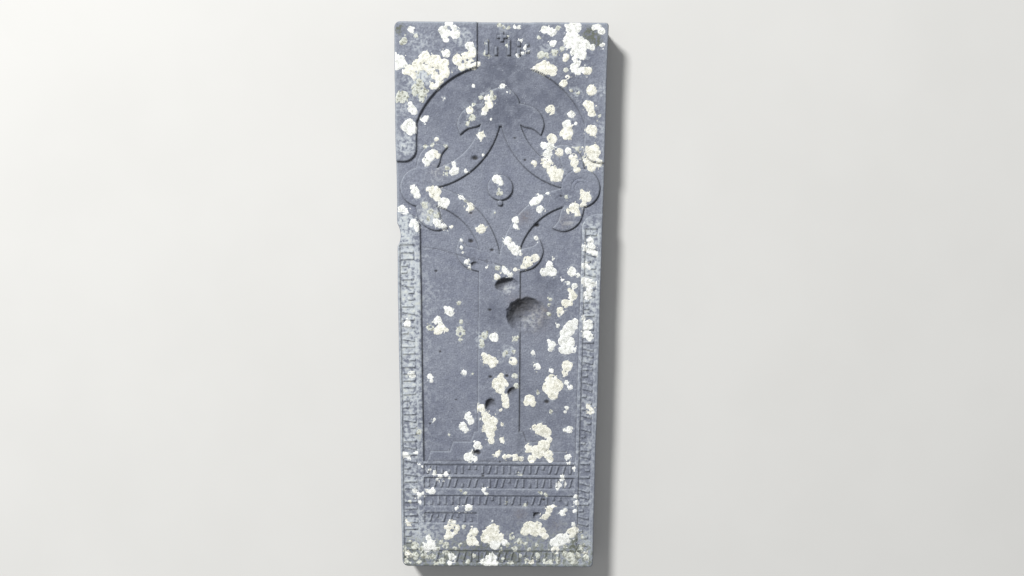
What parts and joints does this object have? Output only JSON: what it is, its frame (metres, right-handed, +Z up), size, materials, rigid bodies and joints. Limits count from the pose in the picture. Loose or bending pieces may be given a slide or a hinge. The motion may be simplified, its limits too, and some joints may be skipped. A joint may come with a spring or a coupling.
{
  "type": "grave slab",
  "caption": "Flat tapered stone grave slab carved in low relief with an arched field, a fleur-ended cross on a stepped foot, and plain strokes in sunken strips.",
  "frame": {"origin": "middle of the underside", "axes": "+X across the slab, +Y along it towards its wider head, +Z up out of the carved face"},
  "size_m": [0.784, 1.98, 0.115],
  "materials": {
    "stone": "weathered blue-grey limestone, matt, with white and cream lichen"
  },
  "bodies": {
    "root": {"grave_slab": "stone"}
  },
  "joints": []
}
